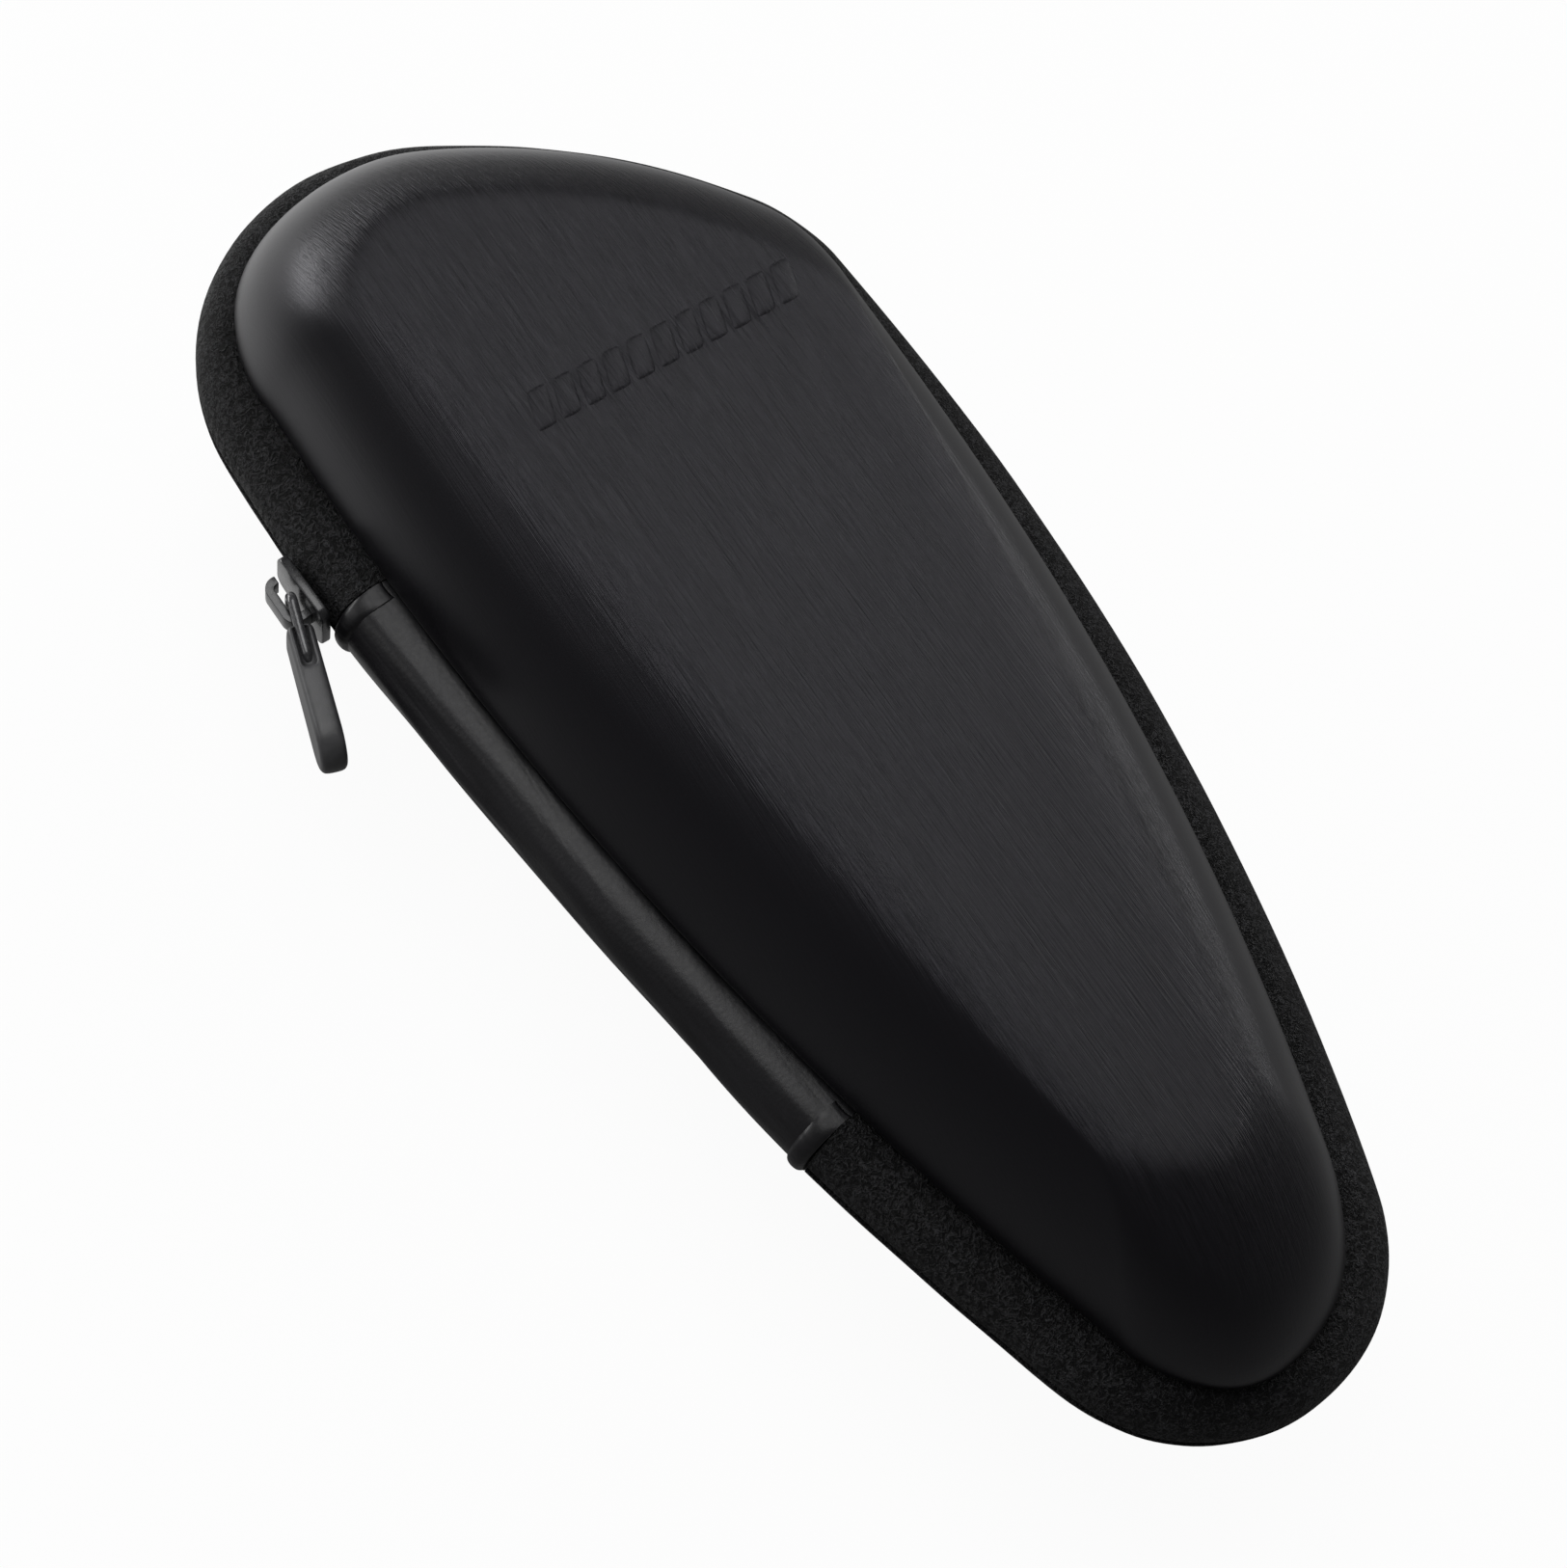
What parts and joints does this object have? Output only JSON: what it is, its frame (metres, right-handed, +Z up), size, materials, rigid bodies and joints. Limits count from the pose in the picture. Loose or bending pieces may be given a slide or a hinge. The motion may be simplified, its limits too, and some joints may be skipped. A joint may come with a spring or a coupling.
{
  "type": "electric shaver hard case",
  "caption": "Pear-shaped zip-up hard case for an electric shaver: moulded foam shells, woven zip band, leatherette hinge spine and a slider with a rubber pull.",
  "frame": {"origin": "centre of the flat underside that the case rests on, halfway along its length and on the long axis of the tip", "axes": "+Z up from the resting face to the flat top; +Y along the case towards the wide head; +X towards the zip side, away from the hinge spine"},
  "size_m": [0.0937, 0.1949, 0.06],
  "materials": {
    "shell_skin": "satin",
    "lining": "matte",
    "tape": "matte",
    "coil": "satin",
    "binding": "matte",
    "spine": "satin",
    "elastic": "matte",
    "net": "matte",
    "slider_metal": "gloss",
    "wire": "gloss",
    "pull_rubber": "satin"
  },
  "bodies": {
    "base": {"lower_shell": "shell_skin", "lower_lining": "lining", "lower_zip_tape": "tape", "lower_zip_coil": "coil", "lower_binding": "binding", "hinge_spine": "spine", "spine_welt_head": "spine", "spine_welt_tip": "spine", "hinge_gusset": "binding", "retaining_strap": "elastic"},
    "lid": {"upper_shell": "shell_skin", "upper_lining": "lining", "upper_zip_tape": "tape", "upper_zip_coil": "coil", "upper_binding": "binding", "upper_tape_end": "tape", "upper_coil_end": "coil", "mesh_pocket": "net", "pocket_hem": "elastic"},
    "slider": {"slider_body": "slider_metal", "slider_bridge": "slider_metal"},
    "pull": {"pull_link": "wire", "pull_tab": "pull_rubber"}
  },
  "joints": [
    {"name": "lid_hinge", "type": "hinge", "parent": "base", "child": "lid", "pos_m": [-0.04293, -0.001, 0.0315], "axis": [0.1197, -0.9928, 0], "range_deg": [0, 180], "deforming": ["hinge_spine", "spine_welt_head", "spine_welt_tip", "hinge_gusset", "upper_tape_end", "upper_coil_end"]},
    {"name": "slider_travel", "type": "hinge", "parent": "base", "child": "slider", "pos_m": [0.40477, 0.05298, 0.0315], "axis": [0, 0, -1], "range_deg": [0, 1.8]},
    {"name": "pull_swing", "type": "hinge", "parent": "slider", "child": "pull", "pos_m": [-0.04581, 0.04807, 0.0315], "axis": [0, 0, -1], "range_deg": [-10, 154]}
  ]
}
